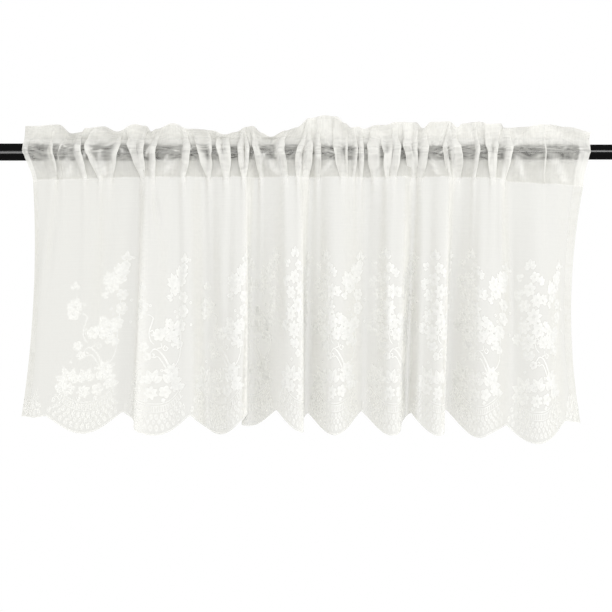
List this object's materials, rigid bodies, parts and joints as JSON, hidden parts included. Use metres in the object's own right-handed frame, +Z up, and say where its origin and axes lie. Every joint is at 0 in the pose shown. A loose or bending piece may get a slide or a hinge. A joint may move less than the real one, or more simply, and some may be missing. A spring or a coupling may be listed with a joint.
{
  "type": "cafe curtain and rod",
  "caption": "Sheer cafe curtain with a ruffled rod pocket and a scalloped hem, gathered on a telescoping rod.",
  "frame": {"origin": "centre of the rod's left end face", "axes": "+X along the rod to the right, -Y out of the curtain's front, +Z up"},
  "size_m": [0.934, 0.0572, 0.4771],
  "materials": {
    "sheer_cloth": "off-white sheer polyester voile with woven white figures",
    "painted_rod": "satin black paint"
  },
  "bodies": {
    "root": {"curtain": "sheer_cloth", "rod_outer_tube": "painted_rod", "rod_inner_tube": "painted_rod"}
  },
  "joints": []
}
